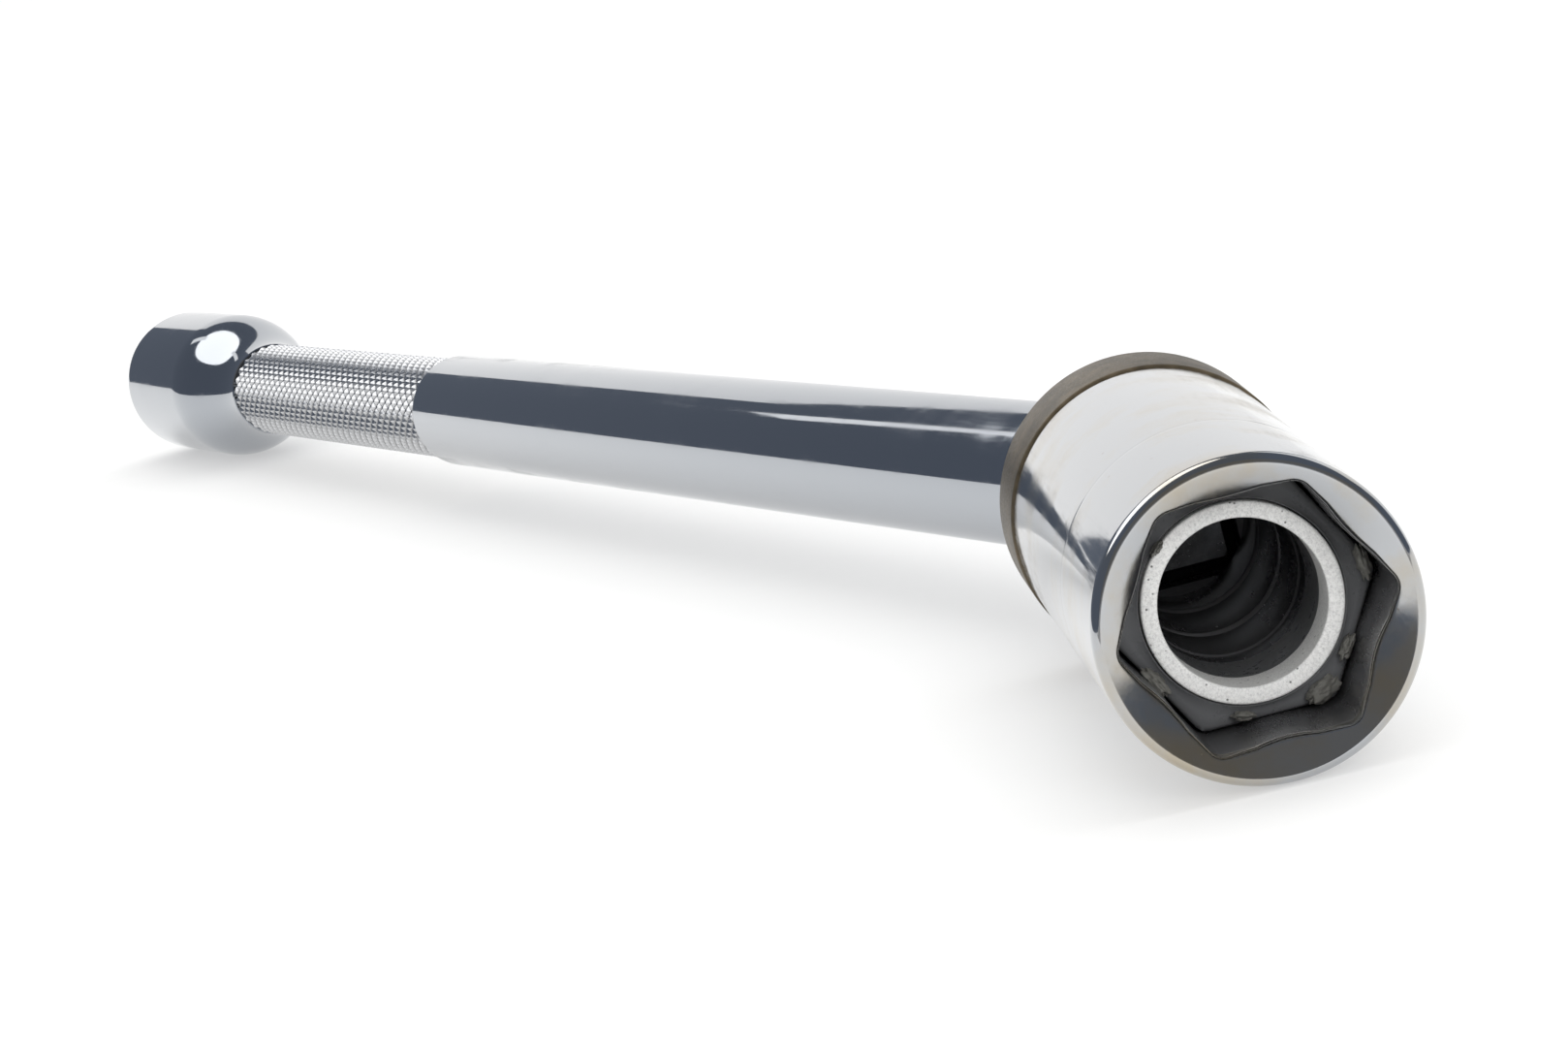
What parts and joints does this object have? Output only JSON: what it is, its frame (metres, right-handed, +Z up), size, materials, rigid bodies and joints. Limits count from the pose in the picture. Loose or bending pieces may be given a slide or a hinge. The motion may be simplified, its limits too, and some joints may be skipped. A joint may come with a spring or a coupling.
{
  "type": "breaker bar",
  "caption": "Flex-head square-drive breaker bar with knurled grip, rounded end knob and a deep magnetic hex socket seated on the drive.",
  "frame": {"origin": "centre of the resting footprint, on the surface the tool lies on", "axes": "+X along the socket's axis towards its mouth, +Z up; the handle runs away towards -X and -Y from the pivot"},
  "size_m": [0.4674, 0.142, 0.029],
  "materials": {
    "polished_chrome": "mirror-polished chrome plate",
    "chromed_knurl": "chrome plate over a fine diamond knurl",
    "satin_chrome": "satin chrome plate",
    "dark_steel": "oiled dark steel",
    "bearing_steel": "polished bearing steel",
    "spring_steel": "drawn spring wire",
    "zinc_washer": "zinc plated",
    "taupe_band": "matte taupe",
    "black_holder": "smooth black",
    "satin_magnet": "fine-grained satin nickel"
  },
  "bodies": {
    "handle": {"yoke": "polished_chrome", "yoke_roll_pin": "dark_steel", "core_bar": "dark_steel", "shank_tube": "polished_chrome", "knurled_grip": "chromed_knurl", "end_knob": "polished_chrome", "knob_screw": "dark_steel", "pivot_screw": "dark_steel", "pivot_nut": "dark_steel", "pivot_washer_upper": "zinc_washer", "pivot_washer_lower": "zinc_washer", "plunger_spring": "spring_steel"},
    "plunger": {"plunger_ball": "bearing_steel"},
    "head": {"drive_head": "satin_chrome", "detent_spring": "spring_steel"},
    "detent": {"detent_ball": "bearing_steel"},
    "socket": {"socket_body": "polished_chrome", "socket_band": "taupe_band", "magnet_holder": "black_holder", "ring_magnet": "satin_magnet"}
  },
  "joints": [
    {"name": "head_flex", "type": "hinge", "parent": "handle", "child": "head", "pos_m": [0.14473, 0.05646, 0.0145], "axis": [0, -0.0275, 0.9996], "range_deg": [-72.46, 107.54]},
    {"name": "socket_pull", "type": "slide", "parent": "head", "child": "socket", "axis": [1, 0, 0], "range_m": [0, 0.02]},
    {"name": "detent_press", "type": "slide", "parent": "head", "child": "detent", "axis": [0, 0.9996, 0.0275], "range_m": [0, 0.0006], "stiffness_N_per_m": 1500, "springref_m": -0.001, "deforming": ["detent_spring"]},
    {"name": "plunger_press", "type": "slide", "parent": "handle", "child": "plunger", "axis": [-0.9535, -0.3013, -0.0083], "range_m": [0, 0.0008], "stiffness_N_per_m": 1500, "springref_m": -0.001, "deforming": ["plunger_spring"]}
  ]
}
